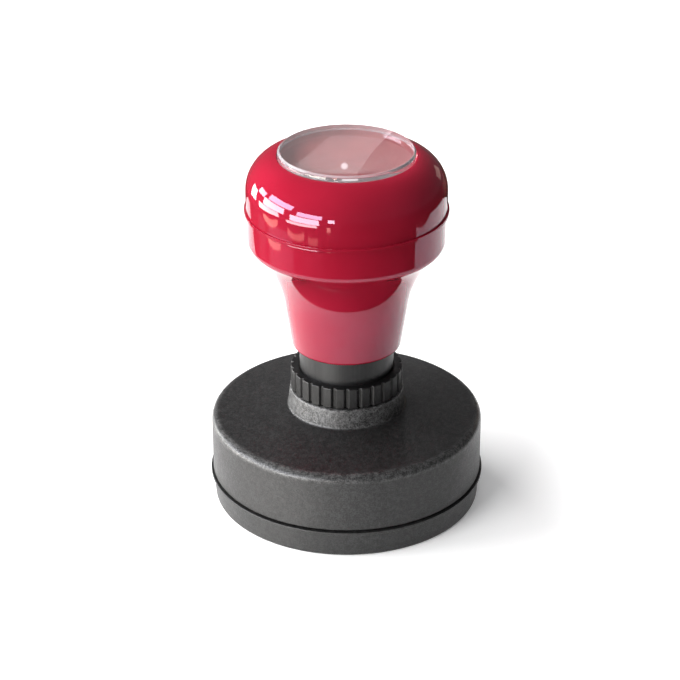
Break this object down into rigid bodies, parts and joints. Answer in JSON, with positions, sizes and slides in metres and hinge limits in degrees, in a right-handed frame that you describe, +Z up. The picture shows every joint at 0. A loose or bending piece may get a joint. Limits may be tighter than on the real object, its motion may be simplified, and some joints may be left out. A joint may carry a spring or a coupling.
{
  "type": "pre-inked stamp",
  "caption": "Round pre-inked hand stamp: glossy knob handle with an index lens, sprung neck, knurled depth ring, black drum housing and a push-on dust cap.",
  "frame": {"origin": "centre of the dust cap's underside, on the surface that the stamp stands on", "axes": "+Z up along the axis of the neck and the handle; the part is round about Z, so X and Y are free"},
  "size_m": [0.053, 0.053, 0.0719],
  "materials": {
    "red_gloss": "polished red moulding",
    "black_blasted": "fine bead-blasted black moulding",
    "black_ring": "satin black moulding",
    "neck_satin": "smooth satin dark grey moulding",
    "clear": "clear polished acrylic",
    "card": "blank pink card",
    "steel": "zinc plated steel",
    "white_moulding": "natural white moulding",
    "soft_rubber": "soft black rubber",
    "die_foam": "grey microporous foam",
    "inked_felt": "felt soaked with red ink"
  },
  "bodies": {
    "housing": {"housing": "black_blasted", "neck_tube": "neck_satin", "neck_clip": "steel", "spring_seat": "steel", "return_spring": "steel"},
    "ring_carrier": {"drag_ring": "soft_rubber"},
    "ring": {"adjusting_ring": "black_ring"},
    "press": {"handle_grip": "red_gloss", "handle_crown": "red_gloss", "index_card": "card", "handle_screw": "steel", "screw_washer": "steel", "spring_cup": "steel", "die_holder": "white_moulding", "bumper_ring": "soft_rubber", "ink_pad": "inked_felt", "flash_die": "die_foam", "die_frame": "black_ring"},
    "lens": {"index_lens": "clear"},
    "cap": {"dust_cap": "black_blasted"}
  },
  "joints": [
    {"name": "handle_press", "type": "slide", "parent": "housing", "child": "press", "axis": [0, 0, -1], "range_m": [0, 0.004], "stiffness_N_per_m": 900, "springref_m": -0.006, "deforming": ["return_spring"]},
    {"name": "ring_lift", "type": "slide", "parent": "housing", "child": "ring_carrier", "axis": [0, 0, 1], "range_m": [0, 0.00075]},
    {"name": "ring_turn", "type": "hinge", "parent": "ring_carrier", "child": "ring", "pos_m": [0, 0, 0.0251], "axis": [0, 0, 1], "range_deg": [0, 361]},
    {"name": "lens_lift", "type": "slide", "parent": "press", "child": "lens", "axis": [0, 0, 1], "range_m": [0, 0.012]},
    {"name": "cap_pull", "type": "slide", "parent": "housing", "child": "cap", "axis": [0, 0, -1], "range_m": [0, 0.02]}
  ],
  "couplings": [
    {"joint": "ring_turn", "follows": "ring_lift", "rad_per_m": 8377.6}
  ]
}
